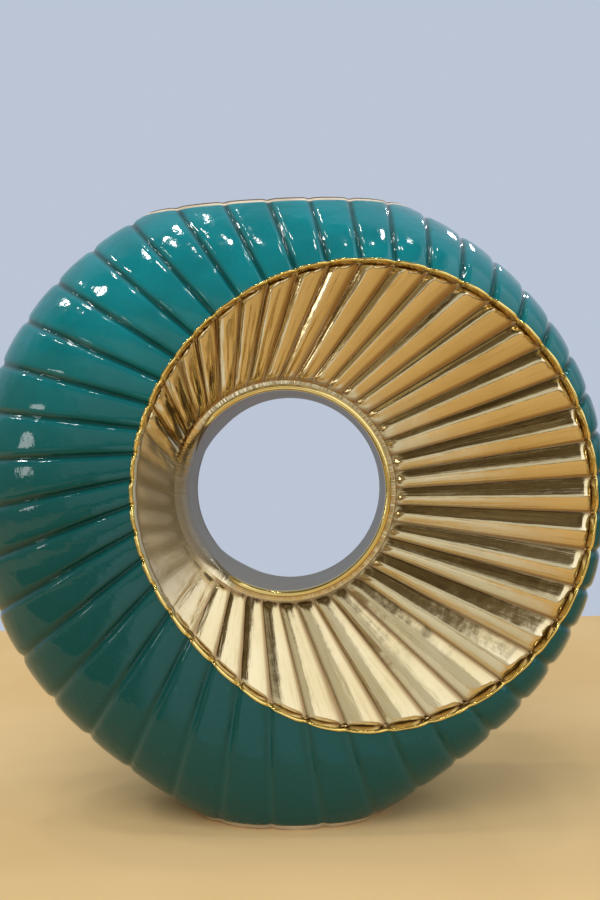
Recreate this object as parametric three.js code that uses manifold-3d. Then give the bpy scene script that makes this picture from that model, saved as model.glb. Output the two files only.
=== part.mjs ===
// Ring vase: an upright, hollow ceramic disc with a round hole through it, fluted on both faces.
// A teal outer zone runs from the rim to an eccentric brow, and a gold funnel falls from the brow to
// the hole. A slot mouth is cut across the top, and the vase stands on an oval foot ring.
// Millimetres, +Z up, front facing -Y, origin on the table under the middle of the foot.
import * as THREE from 'three';
import { mergeVertices } from 'three/addons/utils/BufferGeometryUtils.js';
import Module from 'manifold-3d';

const wasm = await Module();
wasm.setup();

// Body: a disc whose rim is rounder at the sides, sharper at the mouth and squarer at the foot.
const BODY_RADIUS = 143;
const HALF_DEPTH = 46;
const SIDE_FULLNESS = 2;
const MOUTH_FULLNESS = 1.25;
const FOOT_FULLNESS = 2.5;

// Foot: the rim flares down to a flat oval, and a bare ring under it stands on the table.
const FOOT_DROP = 2;
const FOOT_FLARE = 15;
const FOOT_FLARE_SPREAD = THREE.MathUtils.degToRad(21);
const FOOT_RING_HEIGHT = 2.5;
const FOOT_RING_WIDTH = 7;
const FLOOR_THICKNESS = 5;

// Mouth: the top of the disc is trimmed flat, and a bare lip finishes the cut.
const MOUTH_TRIM = 13;
const MOUTH_RIM_HEIGHT = 2;

// Hole and funnel: the bands are the narrowest teal and gold widths, to the right and left of the hole.
const HOLE_RADIUS = 44;
const HOLE_SHIFT = 1.5;
const SLEEVE_WALL = 4.5;
const BEAD_PROUD = 1.2;
const TEAL_BAND = 12.5;
const GOLD_BAND = 13.2;
const BROW_DROP = 2.2;
const BROW_STRETCH = 1.5;
const BROW_FLAT = 4;
const BROW_FLAT_ANGLE = THREE.MathUtils.degToRad(222);
const BROW_FLAT_SPREAD = THREE.MathUtils.degToRad(25);
const FUNNEL_DEPTH = 21;
const FUNNEL_STEP = 4;

// Walls and the joints between sections.
const SHELL_WALL = 5.5;
const FUNNEL_WALL = 5.5;
const JOINT_GAP = 0.3;

// Flutes: one groove runs over the rim, the brow and the funnel, and meets each of their circles off its
// even place by shift + reach cos(turn - toward) + sway cos 2(turn - swayToward), all in degrees.
const FLUTES = 43;
const RIM_GROOVE = 1.2;
const TEAL_GROOVE = 2.4;
const BROW_LOBE = 3.2;
const HOLE_LOBE = 2;
const TEAL_SHARPNESS = 3;
const GOLD_SHARPNESS = 3;
const FLUTE_STOPS = [0, 0.22, 0.78];
const RIM_SWING = { shift: 0.5, reach: 8, toward: -72, sway: 0, swayToward: 0 };
const BROW_SWING = { shift: -3.3, reach: 11.2, toward: 57, sway: 2.4, swayToward: -36 };
const HOLE_SWING = { shift: -1.5, reach: 2, toward: 40, sway: 0, swayToward: 0 };

// Stops along a section, as shares of the way from the rim to the brow or from the brow to the hole.
const SHELL_STOPS = [0, 0.18, 0.4, 0.62, 0.84, 1];
const SHELL_BACK_STOPS = [1, 0.68, 0.34, 0];
const FUNNEL_STOPS = [0, 0.08, 0.28, 0.6, 0.92, 1];
const FUNNEL_BACK_STOPS = [1, 0.5, 0];
const BEAD_STEPS = 4;
const SLEEVE_SIDES = 60;

// Sizes that follow from the ones above.
const AXIS_HEIGHT = BODY_RADIUS + FOOT_DROP;
const MOUTH_HEIGHT = AXIS_HEIGHT + BODY_RADIUS - MOUTH_TRIM;
const SLEEVE_RADIUS = HOLE_RADIUS + SLEEVE_WALL;
const BROW_RIGHT = BODY_RADIUS - TEAL_BAND;
const BROW_LEFT = SLEEVE_RADIUS + GOLD_BAND - HOLE_SHIFT;
const BROW_RADIUS = (BROW_RIGHT + BROW_LEFT) / 2;
const BROW_CENTRE = new THREE.Vector2((BROW_RIGHT - BROW_LEFT) / 2, -BROW_DROP);
const HOLE_CENTRE = new THREE.Vector2(HOLE_SHIFT, 0);
const HOLE_HALF_DEPTH = HALF_DEPTH - FUNNEL_DEPTH;
const SEAM_OFFSET = JOINT_GAP / 2;
const BOX_SPAN = 4 * BODY_RADIUS;

const FRONT = -1;
const REAR = 1;

const tealGlaze = new THREE.MeshStandardMaterial({ color: 0x1d6f72, roughness: 0.1, metalness: 0 });
const goldLustre = new THREE.MeshStandardMaterial({ color: 0xb8904f, roughness: 0.15, metalness: 1 });
const bareClay = new THREE.MeshStandardMaterial({ color: 0xc8bda3, roughness: 0.85, metalness: 0 });

// Angle at which a groove crosses a circle, in the circle's own plane.
function grooveAngle(turn, swing) {
  const reach = swing.reach * Math.cos(turn - THREE.MathUtils.degToRad(swing.toward));
  const sway = swing.sway * Math.cos(2 * (turn - THREE.MathUtils.degToRad(swing.swayToward)));
  return turn + THREE.MathUtils.degToRad(swing.shift + reach + sway);
}

function onCircle(radius, angle) {
  return new THREE.Vector2(radius * Math.cos(angle), radius * Math.sin(angle));
}

// Share of a groove's full depth at a place across one flute: sharp in the groove, flat on the lobe.
function grooveShare(across, sharpness) {
  return Math.abs(2 * across - 1) ** sharpness;
}

// Turn and place across the flute of every station round the ring.
const STATIONS = [];
for (let flute = 0; flute < FLUTES; flute += 1) {
  for (const across of FLUTE_STOPS) {
    STATIONS.push({ turn: (2 * Math.PI * (flute + across)) / FLUTES, across });
  }
}

function rimRadius(angle) {
  const fromFoot = Math.acos(THREE.MathUtils.clamp(-Math.sin(angle), -1, 1));
  return BODY_RADIUS + FOOT_FLARE * Math.exp(-((fromFoot / FOOT_FLARE_SPREAD) ** 2));
}

// Exponent of the rim's section: 1 is a plain bevel, 2 an ellipse, and more is squarer.
function fullness(angle) {
  const height = Math.sin(angle);
  const end = height > 0 ? MOUTH_FULLNESS : FOOT_FULLNESS;
  return SIDE_FULLNESS + (end - SIDE_FULLNESS) * height * height;
}

// The brow is a little taller than wide, with a flatter stretch at its lower left.
function browPoint(turn, clearance) {
  const angle = grooveAngle(turn, BROW_SWING);
  const offFlat = Math.acos(Math.cos(angle - BROW_FLAT_ANGLE));
  const stretch = BROW_STRETCH * Math.sin(angle) ** 2;
  const flat = BROW_FLAT * Math.exp(-((offFlat / BROW_FLAT_SPREAD) ** 2));
  return onCircle(BROW_RADIUS + stretch - flat - clearance, angle).add(BROW_CENTRE);
}

function lift(plan, y) {
  return new THREE.Vector3(plan.x, y, plan.y + AXIS_HEIGHT);
}

// Point of the rounded rim, from the seam (along 0) to the brow (along 1), sunk by an inset.
function rimPoint(turn, along, inset, side, seam) {
  const rimAngle = grooveAngle(turn, RIM_SWING);
  const outer = onCircle(rimRadius(rimAngle) - inset, rimAngle);
  const brow = browPoint(turn, 0);
  const power = 2 / fullness(rimAngle);
  const sweep = (along * Math.PI) / 2;
  const outward = Math.max(Math.cos(sweep), 0) ** power;
  const forward = Math.sin(sweep) ** power;
  const y = side * THREE.MathUtils.lerp(seam, HALF_DEPTH - inset, forward);
  return lift(brow.lerp(outer, along === 1 ? 0 : outward), y);
}

// Point of the funnel, from the brow (along 0) to the sleeve (along 1), raised from the grooves by a rise.
function funnelPoint(turn, along, rise, side) {
  const brow = browPoint(turn, JOINT_GAP);
  const hole = onCircle(SLEEVE_RADIUS + JOINT_GAP, grooveAngle(turn, HOLE_SWING)).add(HOLE_CENTRE);
  const top = HALF_DEPTH - FUNNEL_STEP;
  const bottom = HOLE_HALF_DEPTH - BEAD_PROUD;
  const y = side * (THREE.MathUtils.lerp(top, bottom, along) + rise);
  return lift(brow.lerp(hole, along), y);
}

// Closed ring through the section points of every station.
function sweepRing(section) {
  const rings = STATIONS.map(section);
  const size = rings[0].length;
  const positions = rings.flat().flatMap((point) => [point.x, point.y, point.z]);
  const index = [];
  for (let i = 0; i < rings.length; i += 1) {
    const here = i * size;
    const next = ((i + 1) % rings.length) * size;
    for (let j = 0; j < size; j += 1) {
      const k = (j + 1) % size;
      index.push(here + j, next + j, next + k, here + j, next + k, here + k);
    }
  }
  const geometry = new THREE.BufferGeometry();
  geometry.setAttribute('position', new THREE.Float32BufferAttribute(positions, 3));
  geometry.setIndex(signedVolume(positions, index) < 0 ? index.reverse() : index);
  return geometry;
}

function signedVolume(positions, index) {
  const corner = (n) => new THREE.Vector3().fromArray(positions, 3 * index[n]);
  let volume = 0;
  for (let n = 0; n < index.length; n += 3) {
    volume += corner(n).dot(corner(n + 1).cross(corner(n + 2))) / 6;
  }
  return volume;
}

function toSolid(geometry) {
  const bare = geometry.clone();
  bare.deleteAttribute('normal');
  bare.deleteAttribute('uv');
  const merged = mergeVertices(bare);
  const vertProperties = new Float32Array(merged.getAttribute('position').array);
  const triVerts = new Uint32Array(merged.getIndex().array);
  return new wasm.Manifold(new wasm.Mesh({ numProp: 3, vertProperties, triVerts }));
}

function toGeometry(solid) {
  const mesh = solid.getMesh();
  const geometry = new THREE.BufferGeometry();
  geometry.setAttribute('position', new THREE.Float32BufferAttribute(mesh.vertProperties, mesh.numProp));
  geometry.setIndex(new THREE.Uint32BufferAttribute(mesh.triVerts, 1));
  return geometry;
}

// Block of everything between two heights.
function slab(bottom, top) {
  const box = new THREE.BoxGeometry(BOX_SPAN, BOX_SPAN, top - bottom);
  return toSolid(box.translate(0, 0, (top + bottom) / 2));
}

// Teal grooves are shallow over the rim and deepen toward the brow.
function tealInset(across, along) {
  return THREE.MathUtils.lerp(RIM_GROOVE, TEAL_GROOVE, along) * grooveShare(across, TEAL_SHARPNESS);
}

// Gold lobes stand between the grooves, lower toward the hole, and die out at the funnel's two edges.
function goldRise(across, along) {
  const height = THREE.MathUtils.lerp(BROW_LOBE, HOLE_LOBE, along) * Math.sqrt(Math.sin(Math.PI * along));
  return height * (1 - grooveShare(across, GOLD_SHARPNESS));
}

// One half of the shell, with flutes outside and a smooth wall inside, trimmed for mouth and foot.
function shellHalf(side) {
  const half = sweepRing(({ turn, across }) => [
    ...SHELL_STOPS.map((along) => rimPoint(turn, along, tealInset(across, along), side, SEAM_OFFSET)),
    ...SHELL_BACK_STOPS.map((along) => rimPoint(turn, along, SHELL_WALL, side, SEAM_OFFSET)),
  ]);
  const bottom = FOOT_RING_HEIGHT + JOINT_GAP;
  const top = MOUTH_HEIGHT - MOUTH_RIM_HEIGHT - JOINT_GAP;
  return toGeometry(toSolid(half).intersect(slab(bottom, top)));
}

// Everything inside the rim on both faces, from brow to brow, sunk by an inset at each place.
function envelope(stops, insetAt) {
  const toBrow = [...stops].sort((a, b) => a - b);
  const toSeam = toBrow.slice(1).reverse();
  return toSolid(sweepRing(({ turn, across }) => [
    ...toSeam.map((along) => rimPoint(turn, along, insetAt(across, along), FRONT, 0)),
    ...toBrow.map((along) => rimPoint(turn, along, insetAt(across, along), REAR, 0)),
  ]));
}

function outside() {
  return envelope(SHELL_STOPS, tealInset);
}

function inside(stops, inset) {
  return envelope(stops, () => inset);
}

function mouthRim() {
  const cut = slab(MOUTH_HEIGHT - MOUTH_RIM_HEIGHT, MOUTH_HEIGHT);
  return toGeometry(outside().intersect(cut).subtract(inside(SHELL_BACK_STOPS, SHELL_WALL)));
}

function footRing() {
  const cut = slab(0, FOOT_RING_HEIGHT);
  return toGeometry(outside().intersect(cut).subtract(inside(SHELL_STOPS, FOOT_RING_WIDTH)));
}

function baseFloor() {
  const bottom = FOOT_RING_HEIGHT + JOINT_GAP;
  const cut = slab(bottom, bottom + FLOOR_THICKNESS);
  return toGeometry(inside(SHELL_BACK_STOPS, SHELL_WALL + JOINT_GAP).intersect(cut));
}

function funnel(side) {
  return sweepRing(({ turn, across }) => [
    ...FUNNEL_STOPS.map((along) => funnelPoint(turn, along, goldRise(across, along), side)),
    ...FUNNEL_BACK_STOPS.map((along) => funnelPoint(turn, along, -FUNNEL_WALL, side)),
  ]);
}

// Wall of the hole: a tube with a half-round bead at each end.
function holeSleeve() {
  const nose = SLEEVE_WALL / 2;
  const middle = HOLE_RADIUS + nose;
  const reach = HOLE_HALF_DEPTH - nose;
  const profile = [];
  for (let step = 0; step <= BEAD_STEPS; step += 1) {
    const sweep = (Math.PI * step) / BEAD_STEPS;
    profile.push(new THREE.Vector2(middle + nose * Math.cos(sweep), reach + nose * Math.sin(sweep)));
  }
  for (let step = 0; step <= BEAD_STEPS; step += 1) {
    const sweep = Math.PI + (Math.PI * step) / BEAD_STEPS;
    profile.push(new THREE.Vector2(middle + nose * Math.cos(sweep), nose * Math.sin(sweep) - reach));
  }
  profile.push(profile[0].clone());
  const sleeve = new THREE.LatheGeometry(profile, SLEEVE_SIDES).translate(HOLE_CENTRE.x, 0, AXIS_HEIGHT);
  return toGeometry(toSolid(sleeve));
}

const vase = new THREE.Group();

function place(name, geometry, material) {
  const mesh = new THREE.Mesh(geometry, material);
  mesh.name = name;
  vase.add(mesh);
}

place('front_shell', shellHalf(FRONT), tealGlaze);
place('rear_shell', shellHalf(REAR), tealGlaze);
place('front_dish', funnel(FRONT), goldLustre);
place('rear_dish', funnel(REAR), goldLustre);
place('hole_sleeve', holeSleeve(), goldLustre);
place('mouth_rim', mouthRim(), bareClay);
place('foot_ring', footRing(), bareClay);
place('base_floor', baseFloor(), tealGlaze);

export default vase;
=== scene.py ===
# Ring vase: fluted teal glaze round an eccentric gold funnel, a bare lip and a bare foot.
import math
from types import SimpleNamespace

import bmesh
import bpy
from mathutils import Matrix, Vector


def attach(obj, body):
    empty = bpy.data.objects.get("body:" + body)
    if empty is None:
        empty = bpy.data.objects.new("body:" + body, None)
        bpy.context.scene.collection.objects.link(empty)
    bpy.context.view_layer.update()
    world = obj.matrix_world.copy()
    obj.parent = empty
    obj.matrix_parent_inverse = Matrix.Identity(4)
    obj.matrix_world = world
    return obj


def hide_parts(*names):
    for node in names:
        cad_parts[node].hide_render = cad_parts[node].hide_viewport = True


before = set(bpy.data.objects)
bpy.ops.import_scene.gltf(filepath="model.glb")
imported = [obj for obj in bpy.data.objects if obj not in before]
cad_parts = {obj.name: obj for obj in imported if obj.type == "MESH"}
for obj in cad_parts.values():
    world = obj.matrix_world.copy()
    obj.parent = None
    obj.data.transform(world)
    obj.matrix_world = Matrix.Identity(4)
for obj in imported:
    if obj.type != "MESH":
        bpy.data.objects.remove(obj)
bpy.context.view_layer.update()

# Sizes of the vase in millimetres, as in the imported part.
MM = 0.001
BODY_RADIUS = 143
HALF_DEPTH = 46
SIDE_FULLNESS = 2
MOUTH_FULLNESS = 1.25
FOOT_FULLNESS = 2.5
FOOT_DROP = 2
FOOT_FLARE = 15
FOOT_FLARE_SPREAD = math.radians(21)
FOOT_RING_HEIGHT = 2.5
FOOT_RING_WIDTH = 7
MOUTH_TRIM = 13
MOUTH_RIM_HEIGHT = 2
HOLE_RADIUS = 44
HOLE_SHIFT = 1.5
SLEEVE_WALL = 4.5
BEAD_PROUD = 1.2
TEAL_BAND = 12.5
GOLD_BAND = 13.2
BROW_DROP = 2.2
BROW_STRETCH = 1.5
BROW_FLAT = 4
BROW_FLAT_ANGLE = math.radians(222)
BROW_FLAT_SPREAD = math.radians(25)
FUNNEL_DEPTH = 21
FUNNEL_STEP = 4
SHELL_WALL = 5.5
FUNNEL_WALL = 5.5
AXIS_HEIGHT = BODY_RADIUS + FOOT_DROP
MOUTH_HEIGHT = AXIS_HEIGHT + BODY_RADIUS - MOUTH_TRIM
SLEEVE_RADIUS = HOLE_RADIUS + SLEEVE_WALL
BROW_RIGHT = BODY_RADIUS - TEAL_BAND
BROW_LEFT = SLEEVE_RADIUS + GOLD_BAND - HOLE_SHIFT
BROW_RADIUS = (BROW_RIGHT + BROW_LEFT) / 2
BROW_CENTRE = Vector(((BROW_RIGHT - BROW_LEFT) / 2, -BROW_DROP))
HOLE_CENTRE = Vector((HOLE_SHIFT, 0))
HOLE_HALF_DEPTH = HALF_DEPTH - FUNNEL_DEPTH

# Flutes: their number and depth, and how far a circle's grooves swing off even places, in degrees.
FLUTES = 43
FLUTE_STEPS = 20
STEPS = FLUTES * FLUTE_STEPS
GROOVE_CROWDING = 0.5
GROOVE_SOFTNESS = 0.05
RIM_SWING = (0.5, 8, -72, 0, 0)
BROW_SWING = (-3.3, 11.2, 57, 2.4, -36)
HOLE_SWING = (-1.5, 2, 40, 0, 0)
RIM_GROOVE = 0.8
RIM_CROWN = 0.4
TEAL_GROOVE = 1.8
TEAL_GROOVE_WIDTH = 1.5
TEAL_CROWN = 0.7
TEAL_LIP_FADE = 0.4
TEAL_LIP_FADE_FROM = 0.85
FOOT_FADE_FROM, FOOT_FADE_TO = math.radians(22), math.radians(50)
FOOT_GROOVE_SHARE = 0.25

# Gold lobes: sharp at the right, soft and low at the bottom, round-ended at the upper left.
BROW_LOBE = 3.2
HOLE_LOBE = 2
GOLD_SHARPNESS = 1.3
SOFT_SHARPNESS = 2.2
SOFT_LOBE = 0.45
SOFT_FROM, SOFT_TO = math.radians(220), math.radians(305)
SOFT_FADE = math.radians(22)
ROUND_FROM, ROUND_TO = math.radians(108), math.radians(166)
ROUND_FADE = math.radians(14)
ROUND_SHARPNESS = 2.2
ROUND_TIP = 7
OUTER_TIP = 3
INNER_TIP = 4
RIGHT_LEAN, TOP_LEAN = 0.06, -0.2
TOP_LEAN_FULL = 0.8
LOBE_LEAN, LEAN_BEAT = 0.05, 2.4
LOBE_UNEVEN, UNEVEN_BEAT, UNEVEN_START = 0.12, 1.7, 0.5
LOBE_RIPPLE, RIPPLE_BEAT, RIPPLES = 0.035, 1.9, 2

# Gold edge: the lip that the gilding laps over, the plain ring and the bead of the hole.
GILDING = 0.06
LIP_ROUND = 0.8
LIP_RISE = 0.5
LIP_SKIRT = 1
BRUSH_LAP = 0.5
LEFT_BRUSH_LAP = 0.9
BRUSH_WANDER = 0.2
BRUSH_WAVES = ((17, 1), (41, 0), (73, 2))
TRENCH_INSET = 0.5
PLAIN_RING = 1.4
BEAD_RADIUS = 1.3

# Left of the hole the bead dies out and the funnel, satin and nearly plain, rolls into the bore.
ROLL_FROM, ROLL_TO = math.radians(147), math.radians(228)
ROLL_FADE = math.radians(16)
ROLL_DEPTH = 11
BEAD_SINK = ROLL_DEPTH + 1
SATIN_FROM, SATIN_TO = math.radians(166), math.radians(223)
SATIN_FADE = math.radians(11)
SATIN_LOBE_LOSS = 0.86

# Hidden edges, which run on under their neighbours.
EDGE_TUCK = 0.5
TUCK_BEND = 0.6
TUCK_FALL = 8
BACK_STEP = 2
SLEEVE_SLACK = 0.4
TAPER_FROM, TAPER_TO = 4, 2

FRONT, REAR = -1, 1


def shares(count):
    return [step / count for step in range(count + 1)]


# Rows of each section, as shares of the way along it.
TEAL_ROWS = shares(40)
BACK_ROWS = (1, 0.9, 0.78, 0.65, 0.5, 0.35, 0.2, 0.1, 0)
LIP_ROWS = shares(8)
FUNNEL_ROWS = shares(44)
ROLL_ROWS = shares(10)[1:]
BORE_ROWS = (0.9, 0.7, 0.5, 0.25)
BEAD_STEPS = 10
SLEEVE_STEPS = 256
JOIN = 1e-6
SHARP_EDGE = math.radians(60)


def lerp(a, b, share):
    return a + (b - a) * share


def smooth(low, high, value):
    share = min(max((value - low) / (high - low), 0), 1)
    return share * share * (3 - 2 * share)


def on_circle(radius, angle):
    return Vector((radius * math.cos(angle), radius * math.sin(angle)))


def groove_angle(turn, swing):
    shift, reach, toward, sway, sway_toward = swing
    off = shift + reach * math.cos(turn - math.radians(toward))
    return turn + math.radians(off + sway * math.cos(2 * (turn - math.radians(sway_toward))))


def from_foot(angle):
    return math.acos(max(-1, min(1, -math.sin(angle))))


def rim_radius(angle):
    return BODY_RADIUS + FOOT_FLARE * math.exp(-((from_foot(angle) / FOOT_FLARE_SPREAD) ** 2))


def fullness(angle):
    height = math.sin(angle)
    end = MOUTH_FULLNESS if height > 0 else FOOT_FULLNESS
    return SIDE_FULLNESS + (end - SIDE_FULLNESS) * height * height


def brow_radius(angle):
    off_flat = math.acos(math.cos(angle - BROW_FLAT_ANGLE))
    flat = BROW_FLAT * math.exp(-((off_flat / BROW_FLAT_SPREAD) ** 2))
    return BROW_RADIUS + BROW_STRETCH * math.sin(angle) ** 2 - flat


# Share of a groove's depth: 1 in its rounded bottom, 0 on the crest of the lobe.
def groove_share(across, sharpness):
    off_groove = 1 - abs(2 * across - 1)
    rounded = math.hypot(off_groove, GROOVE_SOFTNESS) - GROOVE_SOFTNESS
    return max(1 - rounded, 0) ** sharpness


# 1 between two angles round the hole and 0 beyond them, with soft ends.
def arc_share(angle, start, end, fade):
    angle %= math.tau
    return smooth(start - fade, start + fade, angle) * (1 - smooth(end - fade, end + fade, angle))


def roll_share(angle):
    return arc_share(angle, ROLL_FROM, ROLL_TO, ROLL_FADE)


def round_share(angle):
    return arc_share(angle, ROUND_FROM, ROUND_TO, ROUND_FADE)


# Height of a gold lobe across one flute, each taller or lower than the next, leaning and rippled.
def lobe_share(flute, across, angle):
    soft = arc_share(angle, SOFT_FROM, SOFT_TO, SOFT_FADE)
    lean = lerp(RIGHT_LEAN, TOP_LEAN, smooth(0, TOP_LEAN_FULL, math.sin(angle)))
    lean += LOBE_LEAN * math.sin(LEAN_BEAT * flute)
    leant = across + lean * math.sin(math.pi * across)
    sharpness = lerp(GOLD_SHARPNESS, SOFT_SHARPNESS, soft)
    sharpness = lerp(sharpness, ROUND_SHARPNESS, round_share(angle))
    height = (1 - groove_share(leant, sharpness)) * lerp(1, SOFT_LOBE, soft)
    ripple = LOBE_RIPPLE * math.sin(RIPPLES * math.tau * across + RIPPLE_BEAT * flute)
    return height * (1 + LOBE_UNEVEN * math.sin(UNEVEN_BEAT * flute + UNEVEN_START) + ripple)


# One line across the vase, from its rim over the brow to the hole.
def station(step):
    flute = step // FLUTE_STEPS
    even = (step % FLUTE_STEPS) / FLUTE_STEPS
    across = even - GROOVE_CROWDING * math.sin(math.tau * even) / math.tau
    turn = math.tau * (flute + across) / FLUTES
    rim_angle = groove_angle(turn, RIM_SWING)
    brow_angle = groove_angle(turn, BROW_SWING)
    hole_angle = groove_angle(turn, HOLE_SWING)
    foot_share = smooth(FOOT_FADE_FROM, FOOT_FADE_TO, from_foot(rim_angle))
    rounded = round_share(hole_angle)
    wander = sum(math.sin(waves * turn + start) for waves, start in BRUSH_WAVES)
    lap = lerp(BRUSH_LAP, LEFT_BRUSH_LAP, roll_share(brow_angle))
    return SimpleNamespace(
        rim=rim_angle,
        rim_radius=rim_radius(rim_angle),
        power=2 / fullness(rim_angle),
        brow=brow_angle,
        brow_radius=brow_radius(brow_angle),
        hole=hole_angle,
        off_groove=min(across, 1 - across),
        foot_fade=lerp(FOOT_GROOVE_SHARE, 1, foot_share),
        gold=lobe_share(flute, across, hole_angle),
        roll=roll_share(hole_angle),
        outer_tip=lerp(OUTER_TIP, ROUND_TIP, rounded),
        inner_tip=lerp(INNER_TIP, ROUND_TIP, rounded),
        satin=arc_share(hole_angle, SATIN_FROM, SATIN_TO, SATIN_FADE),
        brush=lap + BRUSH_WANDER * wander / len(BRUSH_WAVES),
    )


def lift(plan, y):
    return Vector((plan.x, y, plan.y + AXIS_HEIGHT)) * MM


def brow_plan(st, clearance):
    return on_circle(st.brow_radius - clearance, st.brow) + BROW_CENTRE


# Point of the teal zone, from the seam (along 0) to the lip (along 1), sunk by an inset.
def rim_point(st, along, inset, side):
    sweep = along * math.pi / 2
    outward = max(math.cos(sweep), 0) ** st.power if along < 1 else 0
    forward = math.sin(sweep) ** st.power
    outer = on_circle(st.rim_radius - inset, st.rim)
    plan = brow_plan(st, -LIP_ROUND).lerp(outer, outward)
    return lift(plan, side * (HALF_DEPTH - inset) * forward)


def flute_pitch(along):
    return math.tau * lerp(BODY_RADIUS, BROW_RADIUS, along) / FLUTES


# Share of a teal groove's depth: a channel of one width, rounded at its bottom and its shoulders.
def channel_share(st, along):
    return math.exp(-((st.off_groove * flute_pitch(along) / TEAL_GROOVE_WIDTH) ** 2))


def teal_inset(st, along):
    lip_fade = 1 - TEAL_LIP_FADE * smooth(TEAL_LIP_FADE_FROM, 1, along)
    groove = lerp(RIM_GROOVE * st.foot_fade, TEAL_GROOVE, along) * lip_fade
    crown = lerp(RIM_CROWN * st.foot_fade, TEAL_CROWN, along)
    return groove * channel_share(st, along) + crown * (1 - 2 * st.off_groove) ** 2


# Closed section of half a shell: fluted outside, lip, smooth wall inside.
def shell_section(st, side):
    section = [
        (rim_point(st, along, teal_inset(st, along), side), channel_share(st, along))
        for along in TEAL_ROWS
    ]
    section += [(rim_point(st, along, SHELL_WALL, side), 0) for along in BACK_ROWS]
    return section + section[:1]


# Closed section of both halves at once, outside to the rear lip and back along the inside.
def rim_section(st, wall):
    outside = [(along, FRONT) for along in TEAL_ROWS[::-1]]
    outside += [(along, REAR) for along in TEAL_ROWS[1:]]
    section = [(rim_point(st, along, teal_inset(st, along), side), 1) for along, side in outside]
    section += [(rim_point(st, along, wall, side), 0) for along, side in outside[::-1]]
    return section + section[:1]


# Rounded rise of a lobe's end over a length, from 0 at its tip to 1.
def tip_share(distance, length):
    left = 1 - min(max(distance / length, 0), 1)
    return math.sqrt(1 - left * left)


# Closed section of a funnel: gilded lip, step, lobes, plain ring, roll into the bore, and its back.
def funnel_section(st, side):
    lip_y = HALF_DEPTH - teal_inset(st, 1) + GILDING
    lap = LIP_ROUND + st.brush
    hidden_edge = brow_plan(st, -lap - EDGE_TUCK)
    section = [(lift(hidden_edge, side * (lip_y - LIP_SKIRT)), 0)]
    for row in LIP_ROWS:
        rise = math.sin(row * math.pi)
        fall = (LIP_RISE + LIP_ROUND) * (1 - rise) - LIP_RISE if row > 0.5 else -LIP_RISE * rise
        plan = brow_plan(st, -lap * (1 + math.cos(row * math.pi)) / 2)
        section.append((lift(plan, side * (lip_y - fall)), 0))
    start = brow_plan(st, TRENCH_INSET)
    end = on_circle(SLEEVE_RADIUS, st.hole) + HOLE_CENTRE
    width = (end - start).length
    trench = HALF_DEPTH - FUNNEL_STEP
    ring = HOLE_HALF_DEPTH - BEAD_PROUD
    for along in FUNNEL_ROWS:
        outer = tip_share(along * width, st.outer_tip)
        inner = tip_share((1 - along) * width - PLAIN_RING, st.inner_tip)
        lobe = outer * inner * st.gold * (1 - SATIN_LOBE_LOSS * st.satin)
        y = lerp(trench, ring, along) + lerp(BROW_LOBE, HOLE_LOBE, along) * lobe
        section.append((lift(start.lerp(end, along), side * y), 1 - lobe, st.satin))
    bore = HOLE_RADIUS - GILDING
    tuck_reach = SLEEVE_WALL - BEAD_RADIUS - EDGE_TUCK
    roll_turn = ring - (SLEEVE_RADIUS - bore) * (trench - ring) / width
    for row in ROLL_ROWS:
        tuck_radius = SLEEVE_RADIUS - min(row / TUCK_BEND, 1) * tuck_reach
        tuck_y = ring - max(row - TUCK_BEND, 0) * TUCK_FALL
        roll_radius = lerp(SLEEVE_RADIUS, bore, 1 - (1 - row) ** 2)
        roll_y = lerp(lerp(ring, roll_turn, row), lerp(roll_turn, ring - ROLL_DEPTH, row), row)
        plan = on_circle(lerp(tuck_radius, roll_radius, st.roll), st.hole) + HOLE_CENTRE
        section.append((lift(plan, side * lerp(tuck_y, roll_y, st.roll)), 0, st.satin))
    back = on_circle(SLEEVE_RADIUS + EDGE_TUCK, st.hole) + HOLE_CENTRE
    middle_y = lerp(trench, ring, 0.5) - FUNNEL_WALL
    section.append((lift(back, side * (ring - ROLL_DEPTH - EDGE_TUCK)), 0))
    section.append((lift(back.lerp(start, 0.5), side * middle_y), 0))
    section.append((lift(hidden_edge, side * (trench - BACK_STEP)), 0))
    return section + section[:1]


# Closed section of the bore, with a bead at both ends that sinks where the funnel rolls in.
def sleeve_section(angle):
    top = HOLE_HALF_DEPTH - BEAD_RADIUS - BEAD_SINK * roll_share(angle)
    back = SLEEVE_RADIUS - SLEEVE_SLACK
    half = [(back, 0), (back, top - TAPER_FROM), (HOLE_RADIUS + 2 * BEAD_RADIUS, top - TAPER_TO)]
    for row in range(BEAD_STEPS + 1):
        sweep = math.pi * row / BEAD_STEPS
        bead = BEAD_RADIUS * Vector((1 + math.cos(sweep), math.sin(sweep)))
        half.append((HOLE_RADIUS + bead.x, top + bead.y))
    half += [(HOLE_RADIUS, top * share) for share in BORE_ROWS]
    profile = [(radius, FRONT * y) for radius, y in half]
    profile += [(radius, REAR * y) for radius, y in half[::-1]]
    section = [(lift(on_circle(radius, angle) + HOLE_CENTRE, y), 0) for radius, y in profile]
    return section + section[:1]


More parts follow.
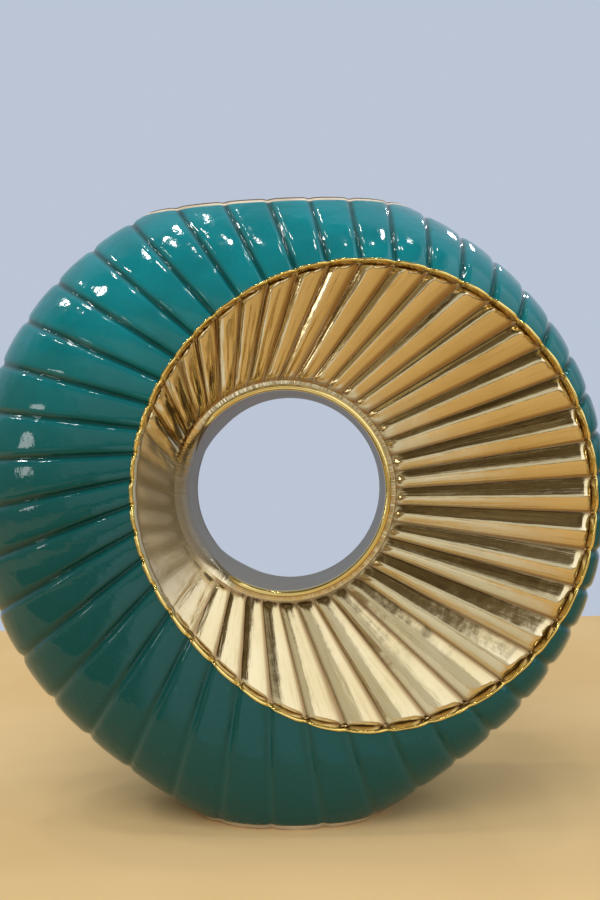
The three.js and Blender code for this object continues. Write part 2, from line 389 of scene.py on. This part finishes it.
# Closed ring of quads through closed sections: a flat grid, set to its places, its edges joined.
def ring_mesh(sections):
    steps, rows = len(sections), len(sections[0]) - 1
    mesh = bmesh.new()
    # Marks on its points: the depth of the groove, the satin, and the turn and row of the section.
    hollow = mesh.verts.layers.float.new("hollow")
    satin = mesh.verts.layers.float.new("satin")
    flow = mesh.verts.layers.float_vector.new("flow")
    bmesh.ops.create_grid(mesh, x_segments=steps, y_segments=rows, size=0.5)
    for vert in mesh.verts:
        step = round((vert.co.x + 0.5) * steps) % steps
        row = round((vert.co.y + 0.5) * rows)
        turn = math.tau * step / steps
        vert.co, vert[hollow], *more = sections[step][row]
        vert[satin] = more[0] if more else 0
        vert[flow] = (math.cos(turn), math.sin(turn), row / rows)
    bmesh.ops.remove_doubles(mesh, verts=mesh.verts, dist=JOIN)
    bmesh.ops.recalc_face_normals(mesh, faces=mesh.faces)
    return mesh


# Cuts a mesh off level at a height, above (up 1) or below (up -1), and gives the edges of the cut.
def trim(mesh, height, up):
    cut = bmesh.ops.bisect_plane(
        mesh,
        geom=mesh.verts[:] + mesh.edges[:] + mesh.faces[:],
        dist=JOIN,
        plane_co=(0, 0, height * MM),
        plane_no=(0, 0, up),
        clear_outer=True,
    )
    return [edge for edge in cut["geom_cut"] if isinstance(edge, bmesh.types.BMEdge)]


def placed(name, mesh, material):
    data = bpy.data.meshes.new(name)
    mesh.to_mesh(data)
    mesh.free()
    data.materials.append(material)
    made = bpy.data.objects.new(name, data)
    bpy.context.scene.collection.objects.link(made)
    return made


def piece(name, mesh, material, slot, *nodes):
    made = placed(name, mesh, material)
    made.data.shade_smooth()
    made.data.set_sharp_from_angle(angle=SHARP_EDGE)
    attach(made, "root")
    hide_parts(*nodes)


class Value:
    """A socket of a node tree that takes part in sums, and the one way to add a node there."""

    def __init__(self, tree, socket=None):
        self.tree, self.socket = tree, socket

    def node(self, kind, settings, sockets, output=0):
        made = self.tree.nodes.new(kind)
        for name, value in settings.items():
            setattr(made, name, value)
        for name, value in sockets.items():
            if isinstance(value, Value):
                self.tree.links.new(value.socket, made.inputs[name])
            else:
                made.inputs[name].default_value = value
        return Value(self.tree, made.outputs[output] if made.outputs else None)

    def math(self, operation, *terms):
        return self.node("ShaderNodeMath", {"operation": operation}, dict(enumerate(terms)))

    # A Mix node keeps its colours in its sockets 6 and 7, and gives their mix in its output 2.
    def mix(self, share, first, second):
        settings = {"data_type": "RGBA"}
        return self.node("ShaderNodeMix", settings, {0: share, 6: first, 7: second}, 2)

    def __add__(self, other):
        return self.math("ADD", self, other)

    __radd__ = __add__

    def __sub__(self, other):
        return self.math("SUBTRACT", self, other)

    def __rsub__(self, other):
        return self.math("SUBTRACT", other, self)

    def __mul__(self, other):
        return self.math("MULTIPLY", self, other)

    __rmul__ = __mul__

    def size(self):
        return self.math("ABSOLUTE", self)

    def between(self, low, high):
        sockets = {"Value": self, "From Min": low, "From Max": high}
        return self.node("ShaderNodeMapRange", {"interpolation_type": "SMOOTHSTEP"}, sockets)


def finish(name):
    material = bpy.data.materials.new(name)
    material.use_nodes = True
    material.node_tree.nodes.clear()
    return material, Value(material.node_tree)


def object_place(tree):
    return tree.node("ShaderNodeTexCoord", {}, {}, "Object")


def axis(tree, vector, letter):
    return tree.node("ShaderNodeSeparateXYZ", {}, {"Vector": vector}, letter)


def mark(tree, name, output="Fac"):
    return tree.node("ShaderNodeAttribute", {"attribute_name": name}, {}, output)


def noise(tree, place, scale, detail=3, rough=0.5):
    sockets = {"Vector": place, "Scale": scale, "Detail": detail, "Roughness": rough}
    return tree.node("ShaderNodeTexNoise", {}, sockets)


# Noise that is drawn out along the lobes, by the turn and row of the section.
def drawn_noise(tree, flow, stretch, detail, rough):
    drawn = tree.node("ShaderNodeMapping", {}, {"Vector": flow, "Scale": stretch})
    return noise(tree, drawn, 1, detail, rough)


def tint(tree, under, over, mask, share):
    return tree.mix(mask * share, under, over)


def bump(tree, height):
    return tree.node("ShaderNodeBump", {}, {"Height": height, "Distance": 1.0, "Strength": 1.0})


def surface(tree, sockets):
    shader = tree.node("ShaderNodeBsdfPrincipled", {}, sockets)
    tree.node("ShaderNodeOutputMaterial", {}, {"Surface": shader})


CLOUDED = (0.3, 0.7)

# Teal glaze: lighter and bluer toward the mouth and greener below, painted light from above; darker
# where pooled in the grooves, but lighter in the grooves near the foot, a painted highlight.
SHADED_LOW_TEAL, LIT_HIGH_TEAL = (0.004, 0.07, 0.069, 1), (0.005, 0.19, 0.218, 1)
CLOUD_TEAL = (0.004, 0.07, 0.066, 1)
LOW_GROOVE_HIGHLIGHT, HIGH_POOL = (0.01, 0.088, 0.084, 1), (0.003, 0.036, 0.029, 1)
PALE_FLECK = (0.03, 0.18, 0.18, 1)
TEAL_LIGHT_TURNS = (0.15, 0.29)
GROOVE_HIGHLIGHT_TURNS = (0.04, 0.12)


def teal_glaze():
    material, tree = finish("teal_glaze")
    place = object_place(tree)
    height = axis(tree, place, "Z")
    clouds = noise(tree, place, scale=40, detail=4, rough=0.6)
    drift = noise(tree, place, scale=14)
    flecks = noise(tree, place, scale=900, detail=2)
    waves = noise(tree, place, scale=110, detail=2, rough=0.4)
    ripples = noise(tree, place, scale=320, detail=2)
    # Painted light from above: the glaze colour grows lighter and bluer with height.
    lobe = tree.mix((height + drift * 0.05).between(*TEAL_LIGHT_TURNS), SHADED_LOW_TEAL, LIT_HIGH_TEAL)
    lobe = tint(tree, lobe, CLOUD_TEAL, clouds.between(0.3, 0.75), share=0.35)
    # Grooves: darker pooled glaze higher up, and near the foot a lighter colour, a painted
    # highlight along them.
    pool_and_highlight = tree.mix(height.between(*GROOVE_HIGHLIGHT_TURNS), LOW_GROOVE_HIGHLIGHT, HIGH_POOL)
    groove_mask = (mark(tree, "hollow") * (0.7 + clouds * 0.4)).between(0.1, 1.0)
    colour = tint(tree, lobe, pool_and_highlight, groove_mask, share=0.85)
    relief = waves * (0.4 * MM) + ripples * (0.06 * MM) + flecks * (0.012 * MM)
    surface(tree, {
        "Base Color": tint(tree, colour, PALE_FLECK, flecks.between(0.64, 0.76), share=0.3),
        "Roughness": 0.04 + clouds * 0.08,
        "IOR": 1.36,
        "Normal": bump(tree, relief),
    })
    return material


# Gold lustre: a thin bright metal film, satin at the left, runny above it; browner in the grooves,
# darkened further there and in the satin's grooves with painted shade.
DEEP_GOLD, PALE_GOLD = (0.66, 0.54, 0.3, 1), (0.74, 0.62, 0.38, 1)
STREAK_GOLD = (0.42, 0.29, 0.12, 1)
SATIN_CREST, SATIN_GROOVE_SHADE = (0.33, 0.28, 0.19, 1), (0.16, 0.125, 0.07, 1)
LIP_GOLD = (0.8, 0.62, 0.2, 1)
VALLEY_SHADE_GOLD = (0.5, 0.37, 0.15, 1)
GROOVE_SHADE_BROWN = (0.2, 0.1, 0.03, 1)
ROLL_BROWN = (0.18, 0.15, 0.1, 1)
STREAK_STRETCH, RUN_STRETCH = (82, 82, 5), (32, 32, 3)
LIP_ENDS = (0.12, 0.14)
ROLL_STARTS = (0.8, 0.94)


def gold_lustre():
    material, tree = finish("gold_lustre")
    place, flow = object_place(tree), mark(tree, "flow", "Vector")
    hollow, satin = mark(tree, "hollow"), mark(tree, "satin")
    clouds = noise(tree, place, scale=28, detail=4, rough=0.6)
    grain = noise(tree, place, scale=700, detail=2)
    waves = noise(tree, place, scale=90, detail=2, rough=0.4)
    streaks = drawn_noise(tree, flow, STREAK_STRETCH, detail=4, rough=0.6)
    runs = drawn_noise(tree, flow, RUN_STRETCH, detail=1, rough=0.4)
    upper_left = (axis(tree, flow, "Y") - axis(tree, flow, "X") * 0.7).between(0.45, 1.1)
    row = axis(tree, flow, "Z")
    inward = row.between(*ROLL_STARTS)
    # Satin zone: paler on the crests, with painted shade darkening its groove bottoms.
    wall = tree.mix(hollow.between(0.87, 0.99), SATIN_CREST, SATIN_GROOVE_SHADE)
    groove = hollow * (1 - satin * 0.7)
    colour = tree.mix(clouds.between(*CLOUDED), DEEP_GOLD, PALE_GOLD)
    colour = tint(tree, colour, STREAK_GOLD, streaks.between(0.5, 0.75), share=0.45)
    colour = tint(tree, colour, wall, satin, share=0.85)
    colour = tree.mix(1 - row.between(*LIP_ENDS), colour, LIP_GOLD)
    # Painted shade: the lustre darkens and browns toward the bottoms of the grooves.
    colour = tint(tree, colour, VALLEY_SHADE_GOLD, groove.between(0.1, 0.9), share=0.4)
    colour = tint(tree, colour, GROOVE_SHADE_BROWN, groove.between(0.78, 1.0), share=0.8)
    relief = waves * (0.25 * MM) + grain * (0.015 * MM) + streaks * (0.1 * MM)
    relief += runs * (0.2 * MM + upper_left * (0.8 * MM))
    surface(tree, {
        "Base Color": tree.mix(inward, colour, ROLL_BROWN),
        "Metallic": 1 - satin * 0.55 - inward * 0.1,
        "Roughness": 0.07 + clouds * 0.08 + satin * 0.06 + inward * 0.22,
        "Normal": bump(tree, relief),
    })
    return material


# The same lustre in the bore, thin over the clay and so duller and greyer, but bright on the bead.
LOW_BORE, HIGH_BORE = (0.165, 0.14, 0.09, 1), (0.12, 0.1, 0.065, 1)
CLOUD_BORE = (0.22, 0.175, 0.11, 1)
BEAD_GOLD = (0.76, 0.59, 0.22, 1)
BORE_TURNS = (0.12, 0.19)
BEAD_STARTS = ((HOLE_HALF_DEPTH - 2 * BEAD_RADIUS) * MM, (HOLE_HALF_DEPTH - BEAD_RADIUS) * MM)


def bore_lustre():
    material, tree = finish("bore_lustre")
    place = object_place(tree)
    clouds = noise(tree, place, scale=45, detail=4, rough=0.6)
    grain = noise(tree, place, scale=700, detail=2)
    colour = tree.mix(axis(tree, place, "Z").between(*BORE_TURNS), LOW_BORE, HIGH_BORE)
    colour = tint(tree, colour, CLOUD_BORE, clouds.between(*CLOUDED), share=0.5)
    bead = axis(tree, place, "Y").size().between(*BEAD_STARTS)
    surface(tree, {
        "Base Color": tree.mix(bead, colour, BEAD_GOLD),
        "Metallic": 0.35 + bead * 0.65,
        "Roughness": 0.32 + clouds * 0.15 - bead * 0.25,
        "Specular IOR Level": 0.25,
        "Normal": bump(tree, clouds * (0.3 * MM) + grain * (0.01 * MM)),
    })
    return material


# Bare fired clay: sandy grain, faint iron specks, and a thin dark line along the mouth's top outer
# edge.
DARK_CLAY, PALE_CLAY = (0.5, 0.42, 0.3, 1), (0.66, 0.58, 0.44, 1)
IRON_SPECK = (0.2, 0.12, 0.06, 1)
MOUTH_EDGE_DARK = (0.1, 0.07, 0.045, 1)
MOUTH_EDGE_STARTS = ((MOUTH_HEIGHT - 0.9) * MM, (MOUTH_HEIGHT - 0.6) * MM)


def bare_clay():
    material, tree = finish("bare_clay")
    place = object_place(tree)
    clouds = noise(tree, place, scale=60, detail=4, rough=0.6)
    sand = noise(tree, place, scale=1400, detail=3, rough=0.6)
    colour = tree.mix(clouds.between(*CLOUDED), DARK_CLAY, PALE_CLAY)
    colour = tint(tree, colour, IRON_SPECK, sand.between(0.66, 0.74), share=0.7)
    top = axis(tree, place, "Z").between(*MOUTH_EDGE_STARTS)
    outside = mark(tree, "hollow").between(0.8, 0.95)
    surface(tree, {
        "Base Color": tree.mix(top * outside, colour, MOUTH_EDGE_DARK),
        "Roughness": 0.75 + sand * 0.2,
        "Normal": bump(tree, sand * (0.2 * MM) + clouds * (0.2 * MM)),
    })
    return material


# The pieces: shells and funnels, front and rear, the bore, the mouth's lip and the foot's edge.
STATIONS = [station(step) for step in range(STEPS)]
RIM_BOTTOM = MOUTH_HEIGHT - MOUTH_RIM_HEIGHT
teal, gold, thin_gold, clay = teal_glaze(), gold_lustre(), bore_lustre(), bare_clay()

for word, side in (("front", FRONT), ("rear", REAR)):
    shell = ring_mesh([shell_section(st, side) for st in STATIONS])
    for height, up in ((RIM_BOTTOM, 1), (FOOT_RING_HEIGHT, -1)):
        bmesh.ops.holes_fill(shell, edges=trim(shell, height, up), sides=0)
    bmesh.ops.recalc_face_normals(shell, faces=shell.faces)
    piece(word + "_fluted_shell", shell, teal, "teal_glaze", word + "_shell")
    funnel = ring_mesh([funnel_section(st, side) for st in STATIONS])
    piece(word + "_gilded_funnel", funnel, gold, "gold_lustre", word + "_dish")

turns = [math.tau * step / SLEEVE_STEPS for step in range(SLEEVE_STEPS)]
sleeve = ring_mesh([sleeve_section(turn) for turn in turns])
piece("gilded_bore", sleeve, thin_gold, "gold_lustre", "hole_sleeve")

rims = (
    ("mouth_lip", "mouth_rim", SHELL_WALL, RIM_BOTTOM, MOUTH_HEIGHT),
    ("foot_edge", "foot_ring", FOOT_RING_WIDTH, 0, FOOT_RING_HEIGHT),
)
for name, node, wall, bottom, top in rims:
    ring = ring_mesh([rim_section(st, wall) for st in STATIONS])
    for height, up in ((bottom, -1), (top, 1)):
        bmesh.ops.bridge_loops(ring, edges=trim(ring, height, up))
    bmesh.ops.recalc_face_normals(ring, faces=ring.faces)
    piece(name, ring, clay, "bare_clay", node)

floor_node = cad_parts["base_floor"]
floor_node.data.materials.clear()
floor_node.data.materials.append(teal)

# Pale floor that ends where the picture's does, and a card on it that only mirrors see.
FLOOR_LOW, FLOOR_HIGH = Vector((-3, -1.1, 0)), Vector((3, 0.44, 0))
CARD_LOW, CARD_HIGH = Vector((-0.6, -1, 0.0005)), Vector((0.1, -0.1, 0.0005))
DARK_FLOOR, PALE_FLOOR = (0.64, 0.44, 0.2, 1), (0.69, 0.49, 0.24, 1)
CARD_SHADOW, CARD_MIDDLE = (0.2, 0.14, 0.07, 1), (0.74, 0.75, 0.76, 1)
CARD_RIGHT = (0.66, 0.46, 0.22, 1)
MIDDLE_STARTS, RIGHT_STARTS = (-0.08, -0.02), (0.065, 0.155)


def flat(name, low, high, paint):
    mesh = bmesh.new()
    bmesh.ops.create_grid(mesh, x_segments=1, y_segments=1, size=0.5)
    bmesh.ops.scale(mesh, vec=high - low, verts=mesh.verts)
    bmesh.ops.translate(mesh, vec=(low + high) / 2, verts=mesh.verts)
    material, tree = finish(name)
    colour = paint(tree, object_place(tree))
    surface(tree, {"Base Color": colour, "Roughness": 0.8, "Specular IOR Level": 0.0})
    made = placed(name, mesh, material)
    return made


def floor_paint(tree, place):
    return tree.mix(noise(tree, place, scale=6).between(*CLOUDED), DARK_FLOOR, PALE_FLOOR)


# Dark at the left, a painted shadow on the floor, pale in the middle and the floor's own colour at
# the right, on slanting lines.
def card_paint(tree, place):
    x, y = axis(tree, place, "X"), axis(tree, place, "Y")
    colour = tree.mix((x - y * 0.5).between(*MIDDLE_STARTS), CARD_SHADOW, CARD_MIDDLE)
    return tree.mix((x - y * 0.4).between(*RIGHT_STARTS), colour, CARD_RIGHT)


flat("table", FLOOR_LOW, FLOOR_HIGH, floor_paint)
# A sheet with a painted shadow on the floor, seen only in mirrors.
shadow_card = flat("shadow_card", CARD_LOW, CARD_HIGH, card_paint)
shadow_card.visible_camera = shadow_card.visible_diffuse = shadow_card.visible_shadow = False

# Soft room for the gold to mirror: dim overhead at the left, warm low at the right, pale between.
WALL = (0.5, 0.56, 0.67, 1)
DARK_GLOOM, PALE_GLOOM = (0.05, 0.032, 0.014, 1), (0.24, 0.195, 0.125, 1)
FAR_LEFT, NEAR_LEFT = (0.3, 0.24, 0.15, 1), (0.72, 0.74, 0.74, 1)
LOW_RIGHT, HIGH_RIGHT = (0.46, 0.38, 0.25, 1), (1.4, 1.47, 1.64, 1)
FAR_RIGHT = (0.25, 0.22, 0.19, 1)
BELOW = (0.12, 0.09, 0.06, 1)

scene = bpy.context.scene
scene.world = bpy.data.worlds.new("studio")
scene.world.use_nodes = True
scene.world.node_tree.nodes.clear()
sky = Value(scene.world.node_tree)
way = sky.node("ShaderNodeTexCoord", {}, {}, "Generated")
across, ahead, upward = (axis(sky, way, letter) for letter in "XYZ")
patches = noise(sky, way, scale=5, detail=3, rough=0.6).between(0.4, 0.7)
left = sky.mix(across.between(-0.75, -0.6), FAR_LEFT, NEAR_LEFT)
left = sky.mix(upward.between(0.45, 0.6), left, sky.mix(patches, DARK_GLOOM, PALE_GLOOM))
right = sky.mix(upward.between(0.05, 0.2), LOW_RIGHT, HIGH_RIGHT)
right = sky.mix(across.between(0.93, 0.99), right, FAR_RIGHT)
lean = sky.math("MAXIMUM", upward - 0.5, 0)
room = sky.mix((across - lean).between(-0.06, 0.1), left, right)
room = sky.mix(1 - upward.between(-0.1, 0.0), room, BELOW)
room = sky.mix(ahead.between(0.0, 0.25), room, WALL)
room = sky.mix(sky.node("ShaderNodeLightPath", {}, {}, "Is Camera Ray"), room, WALL)
glow = sky.node("ShaderNodeBackground", {}, {"Color": room, "Strength": 1.0})
sky.node("ShaderNodeOutputWorld", {}, {"Surface": glow})

# Small panels for the highlights, by their bearing and height in degrees, a window, and a soft key.
MIDDLE = Vector((0, 0, 0.145))
PANELS = ((-78, 47), (-98, 44), (-86, 64), (-62, 72), (20, 78), (100, 75), (-110, 70), (150, 40))
WINDOW, KEY = (-64, 8), (-15, 50)
PANEL_DISTANCE, KEY_DISTANCE = 1.6, 1.8
PANEL_SIZE, WINDOW_SIZE, KEY_SIZE = (0.07, 0.055), (0.16, 0.28), (1.2, 1.2)
PANEL_POWER, KEY_POWER = 1.2, 17


def lamp(name, bearing, distance, size, power, mirrored):
    turn, rise = (math.radians(angle) for angle in bearing)
    level = math.cos(rise)
    toward = Vector((math.sin(turn) * level, -math.cos(turn) * level, math.sin(rise)))
    place = MIDDLE + distance * toward
    light = bpy.data.lights.new(name, "AREA")
    light.shape, light.energy = "RECTANGLE", power
    light.size, light.size_y = size
    holder = bpy.data.objects.new(name, light)
    holder.location = place
    holder.rotation_euler = (MIDDLE - place).to_track_quat("-Z", "Y").to_euler()
    holder.visible_glossy = mirrored
    scene.collection.objects.link(holder)


for number, panel in enumerate(PANELS):
    lamp(f"panel_{number}", panel, PANEL_DISTANCE, PANEL_SIZE, PANEL_POWER, True)
lamp("window", WINDOW, PANEL_DISTANCE, WINDOW_SIZE, PANEL_POWER, True)
lamp("key", KEY, KEY_DISTANCE, KEY_SIZE, KEY_POWER, False)

# Camera at the picture's place: upright, a touch of roll, framed by a small shift.
LENS, SENSOR = 34.36, 36
PICTURE_HEIGHT = 900
SHIFT_X, SHIFT_Y = -30 / PICTURE_HEIGHT, 12 / PICTURE_HEIGHT
CAMERA_PLACE = (0.0215, -0.4, 0.157)
CAMERA_ROLL = math.radians(1.45)

view = bpy.data.cameras.new("view")
view.lens, view.sensor_width = LENS, SENSOR
view.shift_x, view.shift_y = SHIFT_X, SHIFT_Y
camera = bpy.data.objects.new("view", view)
camera.location = CAMERA_PLACE
camera.rotation_euler = (math.pi / 2, CAMERA_ROLL, 0)
scene.collection.objects.link(camera)
scene.camera = camera
scene.view_settings.view_transform = "Standard"
